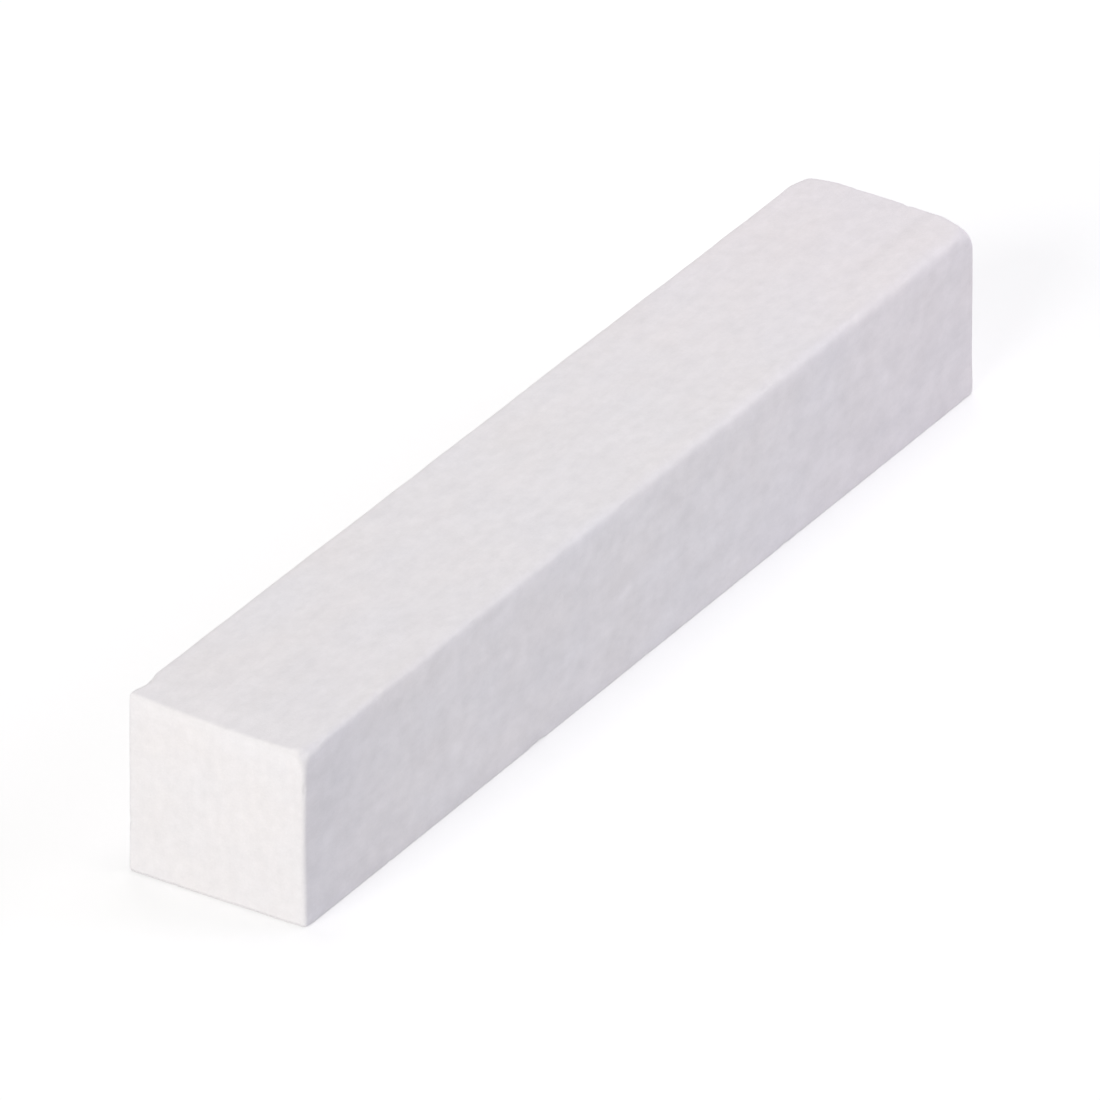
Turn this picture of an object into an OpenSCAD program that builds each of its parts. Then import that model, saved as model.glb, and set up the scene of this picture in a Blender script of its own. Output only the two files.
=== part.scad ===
// A square stick of white chalk, cast in one piece.
// It lies on its base. +X runs along the stick from its clean-cut end to its worn end,
// +Y points to its left side and +Z points up. The origin is the middle of the base.
// All sizes are in millimetres.

/* [Bar] */
// Length of the stick over both ends
stick_length = 74.5; // [30:0.1:120]
// Width of the base, which the mould makes a little wider than the top
base_width = 12; // [8:0.1:25]
// Height of the left side, the taller one
left_height = 11.75; // [8:0.05:25]
// Height of the right side, where the top was struck off a little lower
right_height = 11.4; // [8:0.05:25]
// How far the left side leans in from the base to the top
left_draft = 0.05; // [0:0.05:1]
// How far the right side leans in from the base to the top
right_draft = 0.2; // [0:0.05:1]

/* [Edges] */
// Radius along the two long edges of the top
top_edge_radius = 0.45; // [0.1:0.05:1.5]
// Radius along the edges of the base, which the mould leaves nearly sharp
base_edge_radius = 0.1; // [0.1:0.05:1.5]
// Radius of the top edge and the two upright edges of the clean-cut end
cut_end_radius = 0.3; // [0.1:0.05:1.5]
// Radius of the top edge of the worn end
worn_end_radius = 0.35; // [0.1:0.05:1.5]
// Radius of the upright edge at the left of the worn end
worn_left_radius = 0.9; // [0.1:0.05:3]
// Radius of the upright edge at the right of the worn end
worn_right_radius = 0.35; // [0.1:0.05:3]

/* [Worn corners] */
// How far wear has eaten along the edges from the top right corner of the clean-cut end
cut_right_wear = 1.05; // [0.5:0.05:3]
// The same at the top left corner of the worn end
worn_left_wear = 1.4; // [0.5:0.05:3]
// The same at the top right corner of the worn end, the one that wrote most
worn_right_wear = 1.7; // [0.5:0.05:3]
// Radius of the wear on a corner, for each millimetre that it has eaten along the edges
wear_roundness = 2.6; // [1.5:0.1:5]

/* [Nick] */
// How far behind the clean-cut end the left edge of the top is nicked
nick_place = 1.8; // [1:0.1:10]
// Depth of the nick from the sharp edge, halfway between the top and the side
nick_depth = 0.4; // [0.2:0.05:1]
// Radius of the nick's hollow
nick_radius = 4; // [2:0.5:10]

/* [Hidden] */

half_length = stick_length / 2;
half_width = base_width / 2;
tallest = max(left_height, right_height);
chalk_white = [0.95, 0.94, 0.94];
// Faces on a whole turn of a round
round_faces = 64;
// How far a cutting block reaches past the faces that it cuts
overshoot = 1;

// Corners of the section, with Y to the right and Z up, turning left from the base
section_corners = [
    [-half_width, 0],
    [half_width, 0],
    [half_width - left_draft, left_height],
    [-half_width + right_draft, right_height],
];
section_radii = [base_edge_radius, base_edge_radius, top_edge_radius, top_edge_radius];

// Corners of the outline seen from above
plan_corners = [
    [-half_length, -half_width],
    [half_length, -half_width],
    [half_length, half_width],
    [-half_length, half_width],
];
plan_radii = [cut_end_radius, worn_right_radius, worn_left_radius, cut_end_radius];

// Corners of the outline seen from the right side
side_corners = [
    [-half_length, 0],
    [half_length, 0],
    [half_length, tallest],
    [-half_length, tallest],
];
side_radii = [base_edge_radius, base_edge_radius, worn_end_radius, cut_end_radius];

function unit(v) = v / norm(v);

// A flat outline whose corners are rounded, each to its own radius
module rounded_outline(corners, radii) {
    count = len(corners);
    before = [for (i = [0:count - 1]) unit(corners[(i + count - 1) % count] - corners[i])];
    after = [for (i = [0:count - 1]) unit(corners[(i + 1) % count] - corners[i])];
    half_angle = [for (i = [0:count - 1]) acos(before[i] * after[i]) / 2];
    polygon([
        for (i = [0:count - 1], arm = [before[i], after[i]])
            corners[i] + arm * radii[i] / tan(half_angle[i])
    ]);
    for (i = [0:count - 1])
        translate(corners[i] + unit(before[i] + after[i]) * radii[i] / sin(half_angle[i]))
            circle(r = radii[i], $fn = round_faces);
}

// The bar as it leaves the mould, with its long edges rolled
module cast_bar() {
    translate([-half_length - overshoot, 0, 0])
        rotate([90, 0, 90])
            linear_extrude(stick_length + 2 * overshoot)
                rounded_outline(section_corners, section_radii);
}

// Everything inside the outline seen from above, which rounds the upright edges
module plan_limit() {
    translate([0, 0, -overshoot])
        linear_extrude(tallest + 2 * overshoot)
            rounded_outline(plan_corners, plan_radii);
}

// Everything inside the outline seen from the side, which rounds the ends' cross edges
module side_limit() {
    translate([0, half_width + overshoot, 0])
        rotate([90, 0, 0])
            linear_extrude(base_width + 2 * overshoot)
                rounded_outline(side_corners, side_radii);
}

// Depth of a ball's centre below three square faces, if it cuts each edge "run" from the corner
function ball_depth(run, radius) = (run + sqrt(3 * radius * radius - 2 * run * run)) / 3;

// What wear has taken from the corner of the bar at the given place.
// "outwards" holds the signs of X and Y on that corner; the corner is on the top.
module worn_away(corner, outwards, run) {
    radius = wear_roundness * run;
    depth = ball_depth(run, radius);
    translate(corner)
        mirror([outwards.x < 0 ? 1 : 0, 0, 0])
            mirror([0, outwards.y < 0 ? 1 : 0, 0])
                difference() {
                    translate([-depth, -depth, -depth])
                        cube(depth + overshoot);
                    translate([-depth, -depth, -depth])
                        sphere(r = radius, $fn = round_faces);
                }
}

// What a knock has taken from the left edge of the top, near the clean-cut end
module nick() {
    out = (nick_radius - nick_depth) / sqrt(2);
    translate([-half_length + nick_place, half_width - left_draft + out, left_height + out])
        sphere(r = nick_radius, $fn = round_faces);
}

// The whole stick
module chalk_stick() {
    left_top = half_width - left_draft;
    right_top = -half_width + right_draft;
    color(chalk_white)
        difference() {
            intersection() {
                cast_bar();
                plan_limit();
                side_limit();
            }
            worn_away([-half_length, right_top, right_height], [-1, -1], cut_right_wear);
            worn_away([half_length, left_top, left_height], [1, 1], worn_left_wear);
            worn_away([half_length, right_top, right_height], [1, -1], worn_right_wear);
            nick();
        }
}

chalk_stick();
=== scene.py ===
import math
from collections import namedtuple

import bmesh
import bpy
from mathutils import Matrix, Vector, noise


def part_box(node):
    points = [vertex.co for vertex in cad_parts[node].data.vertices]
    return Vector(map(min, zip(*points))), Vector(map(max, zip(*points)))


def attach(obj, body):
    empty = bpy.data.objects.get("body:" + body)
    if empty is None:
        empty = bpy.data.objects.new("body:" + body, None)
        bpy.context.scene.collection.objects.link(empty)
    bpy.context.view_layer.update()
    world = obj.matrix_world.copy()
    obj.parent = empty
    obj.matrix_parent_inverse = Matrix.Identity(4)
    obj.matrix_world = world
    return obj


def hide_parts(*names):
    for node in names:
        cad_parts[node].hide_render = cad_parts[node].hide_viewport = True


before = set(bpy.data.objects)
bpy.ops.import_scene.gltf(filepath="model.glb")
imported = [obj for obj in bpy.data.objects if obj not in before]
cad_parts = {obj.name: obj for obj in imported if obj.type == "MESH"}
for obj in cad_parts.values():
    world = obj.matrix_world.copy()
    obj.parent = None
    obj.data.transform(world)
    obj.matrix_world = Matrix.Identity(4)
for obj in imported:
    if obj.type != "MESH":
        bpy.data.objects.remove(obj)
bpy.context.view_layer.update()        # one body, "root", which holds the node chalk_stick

# The stick, in millimetres. +X runs from its cut end to its worn end, +Y points to its
# left side and +Z up, and the origin is the middle of its base.
MM = 0.001
_, stick_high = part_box("chalk_stick")
HALF_LENGTH = stick_high.x / MM
HALF_WIDTH = 6.0
HEIGHT = 11.75          # of the left side, the taller one
TOP_FALL = 0.35         # how far the top slopes down from the left side to the right
LEFT_DRAFT = 0.05       # how far the left side leans in at the top
RIGHT_DRAFT = 0.2       # how far the right side leans in at the top
CUT_END = -HALF_LENGTH
WORN_END = HALF_LENGTH

# How far the middle of the top sags at the cut end, and how far back the sag begins
CUT_END_SAG = 0.22
SAG_LENGTH = 3
# The same for the bulge of the right side's upper part
CUT_END_BULGE = 0.13
BULGE_LENGTH = 13
BULGE_FOOT = 0.4        # where the bulge begins, as a share of the height

# Radii of the rolled edges
BASE_RADIUS = 0.1
CUT_BASE_RADIUS = 0.28  # of the base edge of the cut end
TOP_RADIUS = 0.42       # of the long edges of the top
WRITING_RADIUS = 0.8    # of the right one of these at the worn end, which wrote most
CUT_END_RADIUS = 0.36
WORN_END_RADIUS = 0.3
# Over what length one radius passes into the next
CUT_BLEND = 3           # back from the cut end
CUT_BASE_BLEND = 1      # the same along the base
WORN_BLEND = 5          # back from the worn end
BASE_BLEND = 3          # up from the base

# Worn places: the middle of each, its added radius, and its reach along X, Y and Z
WornPlace = namedtuple("WornPlace", "middle added reach")
ENDLESS = 1000          # a reach along which the wear doesn't fade
WORN_PLACES = [
    # Nick in the left edge of the top, near the cut end
    WornPlace((CUT_END + 1.75, HALF_WIDTH, HEIGHT), added=0.4, reach=(1.3, 1.3, 1.3)),
    # Top right corner of the cut end
    WornPlace((CUT_END + 0.4, -HALF_WIDTH, HEIGHT), added=0.5, reach=(2.4, 1.4, 1.6)),
    # Left upright edge of the worn end, all the way up, and the corner above it
    WornPlace((WORN_END, HALF_WIDTH, HEIGHT / 2), added=0.55, reach=(2.6, 2.6, ENDLESS)),
    WornPlace((WORN_END, HALF_WIDTH, HEIGHT), added=0.3, reach=(2.4, 2.4, 2.4)),
    # Top right corner of the worn end, the one that wrote most
    WornPlace((WORN_END, -HALF_WIDTH, HEIGHT), added=0.9, reach=(2.6, 2.6, 1.6)),
]

# Unevenness: how far it goes up and down, how large its lumps are along X, Y and Z, and a
# shift that keeps them from lining up with the others
Relief = namedtuple("Relief", "depth size shift", defaults=[(0, 0, 0)])
SWELL = Relief(0.03, (21, 9, 9))
LARGE_LUMPS = Relief(0.010, (1.9, 1.9, 1.9), (0, 0, 60))
SMALL_LUMPS = Relief(0.005, (0.62, 0.62, 0.62), (0, 90, 0))
# Lengthwise lines that the mould leaves on the long faces
BROAD_LINES = Relief(0.004, (34, 1.3, 1.3))
FINE_LINES = Relief(0.001, (13, 0.45, 0.45), (0, 0, 7))
# Upright lines of the cut, and grain, on the ends
CUT_LINES = Relief(0.006, (1, 0.5, 6))
END_GRAIN = Relief(0.004, (0.42, 0.42, 0.42))
# The same for the rolled edges, as a share of their radius, and for the nibbles in them
EDGE_WAVER = Relief(0.2, (2.6, 2.6, 2.6))
NIBBLES = Relief(0.5, (0.9, 0.9, 0.9), (40, 0, 0))
NIBBLE_START = 0.2      # only what rises above this takes something off an edge

# How deep the real surface lies under the smooth one on average
MEAN_DEPTH = 0.03
# Distances behind an end over which its grain passes into the lines of the long faces
END_GRAIN_DEEP = 0.1    # up to here the grain is as deep as on the end itself
CUT_GRAIN_REACH = 0.5   # where it has faded out at the cut end
WORN_GRAIN_REACH = 1.2  # the same at the worn end
WORN_ROUGHNESS = 3      # how many times deeper the worn end's grain is than the cut end's

# Shallow score in the top, near its right edge, which runs out over the worn end
SCORE_START = WORN_END - 10.5
SCORE_FADE = 2.5        # length over which it deepens
SCORE_PLACE = -2.95     # its place across the stick
SCORE_WIDTH = 0.7
SCORE_DEPTH = 0.02

# How far from the cut end the sides carry painted shade, greyer the nearer they are to it
SIDE_SHADE_LENGTH = 13
# Widths of the bands of painted light on the sides and ends, along their top and base edges,
# which lift the shade there
TOP_LIGHT_BAND_WIDTH = 2
BASE_LIGHT_BAND_WIDTH = 3.2
# How far an edge has turned away from a face where it is fully pale, partly rubbed and partly a
# painted highlight, as 1 less the cosine of the turn. Halfway round an edge it is 0.29.
PALE_EDGE_TURN = 0.3

# Cuts that the net of faces has along X, Y and Z
NET_CUTS = (320, 66, 66)
# How strongly the cuts gather at the edges of the bar, from 0 for none to 1
GATHER = 0.62
# Two places in the net that differ by less than this are the same but for rounding
ROUNDING = 1e-6

# The camera: what it aims at, where it stands as seen from there, its turn and its lens
CAMERA_AIM = Vector((-0.38, 0.705, 5.0)) * MM
CAMERA_DISTANCE = 0.833     # in metres
CAMERA_AZIMUTH = math.radians(-148.51)
CAMERA_ELEVATION = math.radians(29.36)
CAMERA_ROLL = math.radians(0.5)
CAMERA_LENS = 468.6

# Whites of the chalk, what tints it towards its worn end, and the painted shade that greys its
# sides near the cut end
WARM_WHITE = (0.908, 0.878, 0.886, 1)
COOL_WHITE = (0.897, 0.878, 0.900, 1)
SIDE_SHADE_TINT = (0.945, 0.948, 0.965, 1)
WORN_TINT = (1.002, 0.983, 0.992, 1)
# Height of the powder's relief, and of the fine lines' as a share of it
POWDER_HEIGHT = 0.03
FINE_LINE_HEIGHT = 0.2
# What the paler edges add to the shade, partly loose powder where they are rubbed and partly a
# painted highlight; the painted light on the bands beside them, which lifts their shade; and
# what the score lacks of it, painted shade in its groove and bare of powder
EDGE_POWDER_AND_HIGHLIGHT = 0.03
BAND_PAINTED_LIGHT = 0.03
# Painted shade in the score's groove, which is also bare of powder
SCORE_SHADE_AND_BARENESS = -0.034

# The studio
FLOOR_RADIUS = 3.0      # in metres
FLOOR_WHITE = (0.80, 0.80, 0.805, 1)
FLOOR_LIFT = 0.35       # added for the camera alone, so that the floor meets the background
ROOM_LIGHT = (0.99, 1.0, 0.995, 1)
ROOM_STRENGTH = 0.386
WHITE = (1, 1, 1, 1)


def eased(low, high, value):
    """A smooth step: 0 at low, 1 at high, whichever of the two is the larger."""
    share = min(max((value - low) / (high - low), 0), 1)
    return share * share * (3 - 2 * share)


def mixed(first, second, share):
    return first + (second - first) * share


def heading(azimuth, elevation):
    """The direction with a given azimuth, which is 0 along +X, and elevation."""
    level = math.cos(elevation)
    return Vector((math.cos(azimuth) * level, math.sin(azimuth) * level, math.sin(elevation)))


def divided(parts, sizes):
    """Divides the parts of a vector along X, Y and Z, each by its own size."""
    return Vector([part / size for part, size in zip(parts, sizes)])


def relief(place, *kinds):
    """Height of several kinds of unevenness together at a place, above or below zero."""
    return sum(
        kind.depth * noise.noise(divided(place, kind.size) + Vector(kind.shift))
        for kind in kinds)


# The bar ---------------------------------------------------------------------------

def netted_bar():
    """A cube from -1 to 1 on each axis, cut into a fine net of four-sided faces."""
    bar = bmesh.new()
    bmesh.ops.create_cube(bar, size=2)
    for axis, cuts in enumerate(NET_CUTS):
        along_axis = [
            edge for edge in bar.edges
            if abs(edge.verts[0].co[axis] - edge.verts[1].co[axis]) > ROUNDING
        ]
        bmesh.ops.subdivide_edges(bar, edges=along_axis, cuts=cuts, use_grid_fill=True)
    return bar


def straight_place(net_place):
    """Where a point of the net lies on the sharp-edged bar, with more of them at its edges."""
    u, v, w = [mixed(part, math.sin(part * math.pi / 2), GATHER) for part in net_place]
    return Vector((u * HALF_LENGTH, v * HALF_WIDTH, (w + 1) / 2 * HEIGHT))


def added_by(worn_place, place):
    """Radius that a worn place adds at a place, fading to nothing at its reach."""
    distance = divided(place - Vector(worn_place.middle), worn_place.reach).length
    return worn_place.added * eased(1, 0, distance)


def edge_radius(place):
    """Radius of the rolled edges near a place on the bar."""
    writing_share = eased(CUT_END, WORN_END, place.x) * eased(0, -HALF_WIDTH, place.y)
    radius = mixed(TOP_RADIUS, WRITING_RADIUS, writing_share)
    radius = mixed(radius, CUT_END_RADIUS, eased(CUT_END + CUT_BLEND, CUT_END, place.x))
    radius = mixed(radius, WORN_END_RADIUS, eased(WORN_END - WORN_BLEND, WORN_END, place.x))
    cut_share = eased(CUT_END + CUT_BASE_BLEND, CUT_END, place.x)
    base_radius = mixed(BASE_RADIUS, CUT_BASE_RADIUS, cut_share)
    radius = mixed(base_radius, radius, eased(0, BASE_BLEND, place.z))
    for worn_place in WORN_PLACES:
        radius += added_by(worn_place, place)
    # Handling has rolled the edges a little unevenly, and nibbled them here and there
    nibble = max(0, relief(place, NIBBLES) - NIBBLE_START)
    return radius * (1 + relief(place, EDGE_WAVER)) + nibble


def rolled(place, radius):
    """Moves a point of the sharp-edged bar onto the bar with its edges rolled."""
    middle = Vector((0, 0, HEIGHT / 2))
    room = Vector((HALF_LENGTH - radius, HALF_WIDTH - radius, HEIGHT / 2 - radius))
    offset = place - middle
    inner = Vector([max(-limit, min(limit, part)) for part, limit in zip(offset, room)])
    outward = (offset - inner).normalized()
    return middle + inner + outward * radius, outward


def drafted(place):
    """Gives the bar the slope and sag of its top, and the lean and bulge of its sides."""
    across = place.y / HALF_WIDTH
    up = place.z / HEIGHT
    if across > 0:
        lean = LEFT_DRAFT * up
    else:
        bulge_share = eased(CUT_END + BULGE_LENGTH, CUT_END, place.x) * eased(BULGE_FOOT, 1, up)
        lean = RIGHT_DRAFT * up - CUT_END_BULGE * bulge_share
    sag_share = eased(CUT_END + SAG_LENGTH, CUT_END, place.x) * (1 - across * across)
    fall = TOP_FALL * (1 - across) / 2 + CUT_END_SAG * sag_share
    return Vector((place.x, place.y - lean * across, place.z - fall * up))


def score(place):
    """How much of the score in the top there is at a place, from 0 to 1."""
    if place.z < HEIGHT / 2:
        return 0
    along = eased(SCORE_START, SCORE_START + SCORE_FADE, place.x)
    return along * eased(SCORE_WIDTH, 0, abs(place.y - SCORE_PLACE))


def surface_depth(place):
    """How deep the real surface lies under the smooth one at a place, never below zero."""
    cut_share = eased(CUT_END + CUT_GRAIN_REACH, CUT_END + END_GRAIN_DEEP, place.x)
    worn_share = eased(WORN_END - WORN_GRAIN_REACH, WORN_END - END_GRAIN_DEEP, place.x)
    long_share = 1 - max(cut_share, worn_share)
    end_roughness = cut_share + WORN_ROUGHNESS * worn_share
    depth = MEAN_DEPTH + relief(place, SWELL, LARGE_LUMPS, SMALL_LUMPS)
    depth += long_share * relief(place, BROAD_LINES, FINE_LINES)
    depth += end_roughness * relief(place, CUT_LINES, END_GRAIN)
    depth += SCORE_DEPTH * score(place)
    return max(0, depth)


def finish_shares(place, outward):
    """What the finish needs to know about a place on the bar, each as a share from 0 to 1."""
    near_cut = eased(CUT_END + SIDE_SHADE_LENGTH, CUT_END, place.x)
    near_top = eased(TOP_LIGHT_BAND_WIDTH, 0, HEIGHT - place.z)
    near_base = eased(BASE_LIGHT_BAND_WIDTH, 0, place.z)
    return {
        "worn": eased(0, WORN_END, place.x),
        "end": outward.x ** 2,
        "side": outward.y ** 2,
        # The rolled edges, paler partly from rubbing and partly from a painted highlight
        "edge": eased(0, PALE_EDGE_TURN, 1 - max(map(abs, outward))),
        # Painted shade on the sides, strongest at the cut end
        "painted_side_shade": near_cut * outward.y ** 2,
        # Painted light in bands along the top and base edges of the sides and ends
        "painted_band_light": max(near_top, near_base) * (1 - outward.z ** 2),
        "score": score(place),
    }


def chalk_bar():
    """The stick, as a bmesh in metres, with the shares for its finish on its points."""
    bar = netted_bar()
    layers = {
        name: bar.verts.layers.float.new(name)
        for name in ("worn", "end", "side", "edge", "painted_side_shade", "painted_band_light", "score")
    }
    for vert in bar.verts:
        sharp = straight_place(vert.co)
        place, outward = rolled(sharp, edge_radius(sharp))
        vert.co = drafted(place - outward * surface_depth(place))
        for name, share in finish_shares(place, outward).items():
            vert[layers[name]] = share
    bmesh.ops.scale(bar, vec=(MM, MM, MM), verts=bar.verts)
    for face in bar.faces:
        face.smooth = True
    bar.normal_update()
    return bar


def as_piece(shape, name):
    """Turns a finished bmesh into an object at the origin."""
    mesh = bpy.data.meshes.new(name)
    shape.to_mesh(mesh)
    shape.free()
    piece = bpy.data.objects.new(name, mesh)
    bpy.context.scene.collection.objects.link(piece)
    return piece


# Materials -------------------------------------------------------------------------

class Nodes:
    """The nodes of a material or a world, with a short way to add and join them."""

    # Nearly all values of a noise texture lie between these two
    NOISE_LOW = 0.3
    NOISE_HIGH = 0.7

    def __init__(self, owner):
        owner.use_nodes = True
        self.tree = owner.node_tree
        self.tree.nodes.clear()

    def add(self, kind, inputs=None, **settings):
        """Adds a node. An input is joined where it is given a socket, and set otherwise."""
        node = self.tree.nodes.new(kind)
        for setting, value in settings.items():
            setattr(node, setting, value)
        for key, value in (inputs or {}).items():
            if isinstance(value, bpy.types.NodeSocket):
                self.tree.links.new(value, node.inputs[key])
            else:
                node.inputs[key].default_value = value
        return node

    def attribute(self, name):
        return self.add("ShaderNodeAttribute", attribute_name=name).outputs["Fac"]

    def maths(self, operation, first, second):
        return self.add("ShaderNodeMath", {0: first, 1: second}, operation=operation).outputs[0]

    def total(self, first, *others):
        for other in others:
            first = self.maths("ADD", first, other)
        return first

    def product(self, first, *others):
        for other in others:
            first = self.maths("MULTIPLY", first, other)
        return first

    def mix(self, share, first, second):
        """Mixes two numbers, which are inputs 2 and 3 of the node."""
        return self.add("ShaderNodeMix", {0: share, 2: first, 3: second}).outputs[0]

    def mix_colour(self, share, first, second, way="MIX"):
        """Mixes two colours, which are inputs 6 and 7 of the node."""
        node = self.add(
            "ShaderNodeMix", {0: share, 6: first, 7: second},
            data_type="RGBA", blend_type=way)
        return node.outputs[2]

    def noise(self, size, detail=2, roughness=0.5, distortion=0):
        """Noise from 0 to 1 whose lumps have the given size in millimetres on each axis."""
        mapping = self.add("ShaderNodeMapping", {
            "Vector": self.add("ShaderNodeTexCoord").outputs["Object"],
            "Scale": [1 / (MM * part) for part in size],
        })
        texture = self.add("ShaderNodeTexNoise", {
            "Vector": mapping.outputs["Vector"],
            "Scale": 1.0,
            "Detail": detail,
            "Roughness": roughness,
            "Distortion": distortion,
        })
        return texture.outputs["Fac"]

    def spread(self, unevenness, low, high):
        """Stretches a noise so that it runs from low to high, and holds it there."""
        node = self.add("ShaderNodeMapRange", {
            "Value": unevenness,
            "From Min": self.NOISE_LOW,
            "From Max": self.NOISE_HIGH,
            "To Min": low,
            "To Max": high,
        })
        return node.outputs["Result"]

    def seen_directly(self):
        """1 for what the camera sees, also in a mirror or through glass, and 0 for light."""
        rays = self.add("ShaderNodeLightPath")
        seen = rays.outputs["Is Camera Ray"]
        for kind in ("Is Glossy Ray", "Is Transmission Ray"):
            seen = self.maths("MAXIMUM", seen, rays.outputs[kind])
        return seen


def chalk_tone(nodes, clouds):
    """The chalk's colour, which drifts between a warm and a cool white, with painted shade that
    greys its sides near the cut end.
    """
    coolness = nodes.spread(clouds, low=0, high=1)
    white = nodes.mix_colour(coolness, WARM_WHITE, COOL_WHITE)
    white = nodes.mix_colour(nodes.attribute("worn"), white, WORN_TINT, "MULTIPLY")
    # Painted shade: the sides greyer and a little bluer towards the cut end
    return nodes.mix_colour(nodes.attribute("painted_side_shade"), white, SIDE_SHADE_TINT, "MULTIPLY")


def chalk_shade(nodes):
    """A factor on the tone: mottling, faint lines, grain, paler edges that are partly rubbed
    and partly a painted highlight, painted light in the bands beside them, and painted shade in
    the score.
    """
    end_share = nodes.attribute("end")
    # Mottling: denser and looser powder, in spots a little longer than wide
    spots = nodes.noise(size=(1.0, 0.7, 0.7), detail=4, roughness=0.62)
    patches = nodes.noise(size=(2.8, 1.9, 1.9), detail=1)
    long_mottling = nodes.product(
        nodes.spread(spots, low=0.966, high=1.025),
        nodes.spread(patches, low=0.988, high=1.011))
    end_mottling = nodes.spread(spots, low=0.970, high=1.020)
    mottling = nodes.mix(end_share, long_mottling, end_mottling)
    # The sides, which came off the walls of the mould, are blotchier than the top
    blotches = nodes.noise(size=(2.1, 1.6, 1.6), detail=1)
    side_blotches = nodes.mix(
        nodes.attribute("side"), 1.0, nodes.spread(blotches, low=0.974, high=1.024))
    # Faint lengthwise lines of the mould, and upright ones of the cut on the ends
    mould_lines = nodes.noise(size=(22, 0.5, 0.5), detail=3, roughness=0.6, distortion=0.25)
    cut_lines = nodes.noise(size=(1.6, 0.5, 5), detail=3)
    lines = nodes.mix(
        end_share,
        nodes.spread(mould_lines, low=0.986, high=1.006),
        nodes.spread(cut_lines, low=0.988, high=1.006))
    # Grain: specks of the powder that the stick is made of
    specks = nodes.noise(size=(0.14, 0.14, 0.14), detail=2)
    grain = nodes.spread(specks, low=0.983, high=1.009)
    # The rolled edges are paler, partly from loose white powder where they are rubbed and
    # partly from a painted highlight. The bands beside them carry painted light, which lifts
    # their shade along the top and base. The score is darker: painted shade in its groove, and
    # bare of powder.
    powder = nodes.total(
        nodes.product(nodes.attribute("edge"), EDGE_POWDER_AND_HIGHLIGHT),
        nodes.product(nodes.attribute("painted_band_light"), BAND_PAINTED_LIGHT),
        nodes.product(nodes.attribute("score"), SCORE_SHADE_AND_BARENESS))
    return nodes.total(nodes.product(mottling, side_blotches, lines, grain), powder)


def chalk_relief(nodes):
    """Relief too fine for the mesh: powder, and fainter lines along the long faces."""
    powder = nodes.noise(size=(0.13, 0.12, 0.12), detail=3, roughness=0.65)
    lines = nodes.noise(size=(9, 0.2, 0.2), detail=2, roughness=0.6)
    long_share = nodes.maths("SUBTRACT", 1.0, nodes.attribute("end"))
    faint_lines = nodes.product(lines, long_share, FINE_LINE_HEIGHT)
    bump = nodes.add("ShaderNodeBump", {
        "Height": nodes.total(powder, faint_lines),
        "Strength": 0.5,
        "Distance": POWDER_HEIGHT * MM,
    })
    return bump.outputs["Normal"]


def white_chalk():
    """Dry white chalk: powdery and matt, mottled, and paler along its edges, partly rubbed and
    partly with painted light.
    """
    material = bpy.data.materials.new("white_chalk")
    nodes = Nodes(material)
    clouds = nodes.noise(size=(11, 6, 6), detail=3, roughness=0.55)
    colour = nodes.add(
        "ShaderNodeVectorMath", {0: chalk_tone(nodes, clouds), 1: chalk_shade(nodes)},
        operation="MULTIPLY")
    shader = nodes.add("ShaderNodeBsdfPrincipled", {
        "Base Color": colour.outputs[0],
        "Roughness": nodes.spread(clouds, low=0.86, high=0.95),
        "Specular IOR Level": 0.25,
        "Normal": chalk_relief(nodes),
    })
    nodes.add("ShaderNodeOutputMaterial", {"Surface": shader.outputs["BSDF"]})
    return material


def pale_floor():
    """A matt white floor that shows the stick's shadow and meets a white background."""
    material = bpy.data.materials.new("pale_floor")
    nodes = Nodes(material)
    matt = nodes.add("ShaderNodeBsdfDiffuse", {"Color": FLOOR_WHITE})
    lift = nodes.add("ShaderNodeEmission", {
        "Color": WHITE,
        "Strength": nodes.product(nodes.seen_directly(), FLOOR_LIFT),
    })
    both = nodes.add("ShaderNodeAddShader", {0: matt.outputs[0], 1: lift.outputs[0]})
    nodes.add("ShaderNodeOutputMaterial", {"Surface": both.outputs[0]})
    return material


# The studio ------------------------------------------------------------------------

def floor():
    """A wide level floor just under the stick."""
    sheet = bmesh.new()
    bmesh.ops.create_circle(sheet, cap_ends=True, segments=96, radius=FLOOR_RADIUS)
    plane = as_piece(sheet, "studio_floor")
    plane.data.materials.append(pale_floor())


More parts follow.
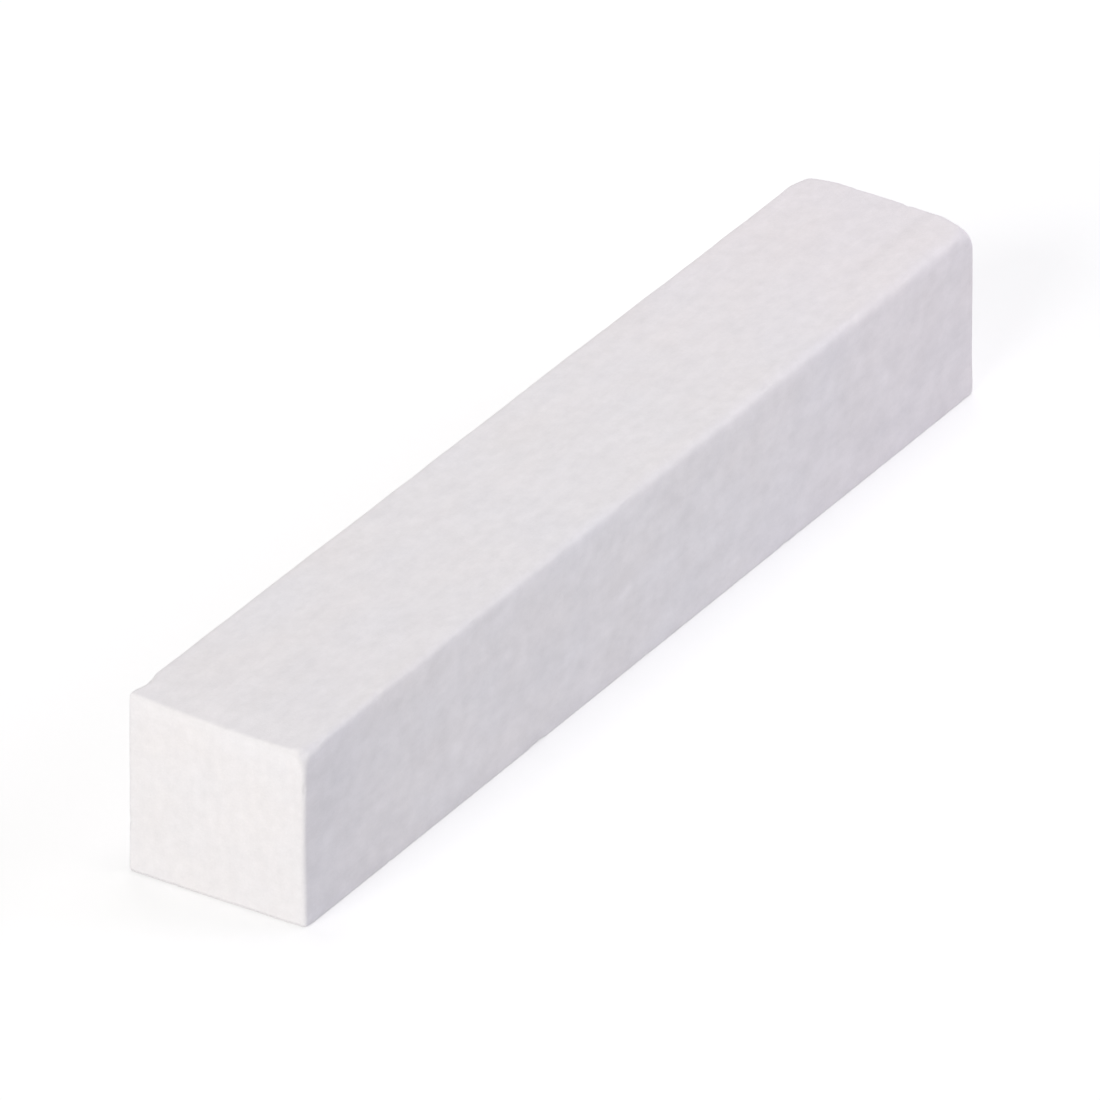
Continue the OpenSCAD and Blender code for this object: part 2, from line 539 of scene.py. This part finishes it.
def surroundings():
    """An even, slightly cool room light, which the camera sees as plain white."""
    world = bpy.data.worlds.new("studio_room")
    bpy.context.scene.world = world
    nodes = Nodes(world)
    room = nodes.add("ShaderNodeBackground", {"Color": ROOM_LIGHT, "Strength": ROOM_STRENGTH})
    white = nodes.add("ShaderNodeBackground", {"Color": WHITE, "Strength": 1.0})
    choice = nodes.add("ShaderNodeMixShader", {
        0: nodes.seen_directly(),
        1: room.outputs[0],
        2: white.outputs[0],
    })
    nodes.add("ShaderNodeOutputWorld", {"Surface": choice.outputs[0]})


def lamp(name, azimuth, elevation, distance, size, power, colour):
    """A square soft lamp that shines on the stick from a direction given in degrees."""
    light = bpy.data.lights.new(name, "AREA")
    light.shape = "SQUARE"
    light.size = size
    light.energy = power
    light.color = colour
    away = heading(math.radians(azimuth), math.radians(elevation))
    turn = away.to_track_quat("Z", "Y").to_matrix().to_4x4()
    holder = bpy.data.objects.new(name, light)
    holder.matrix_world = Matrix.Translation(away * distance) @ turn
    holder.visible_camera = False
    bpy.context.scene.collection.objects.link(holder)


def camera():
    """The camera, aimed at the stick from its cut end and its right side."""
    lens = bpy.data.cameras.new("camera")
    lens.lens = CAMERA_LENS
    away = heading(CAMERA_AZIMUTH, CAMERA_ELEVATION)
    turn = (-away).to_track_quat("-Z", "Y").to_matrix().to_4x4()
    place = Matrix.Translation(CAMERA_AIM + away * CAMERA_DISTANCE)
    holder = bpy.data.objects.new("camera", lens)
    holder.matrix_world = place @ turn @ Matrix.Rotation(CAMERA_ROLL, 4, "Z")
    bpy.context.scene.collection.objects.link(holder)
    bpy.context.scene.camera = holder


# The stick in the studio -----------------------------------------------------------

stick = as_piece(chalk_bar(), "chalk_bar")
stick.data.materials.append(white_chalk())
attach(stick, "root")
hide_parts("chalk_stick")

floor()
surroundings()
# The key lamp lights the cut end, the top lamp the top, and the fill lamp the right side
lamp("key_lamp", azimuth=178, elevation=20, distance=0.9, size=0.5,
     power=4.09, colour=(1.0, 0.987, 0.952))
lamp("top_lamp", azimuth=20, elevation=70, distance=0.45, size=0.3,
     power=0.56, colour=(1.0, 0.965, 0.966))
lamp("fill_lamp", azimuth=-50, elevation=25, distance=0.45, size=0.3,
     power=0.535, colour=(0.852, 0.848, 1.0))
camera()
bpy.context.scene.view_settings.view_transform = "Standard"
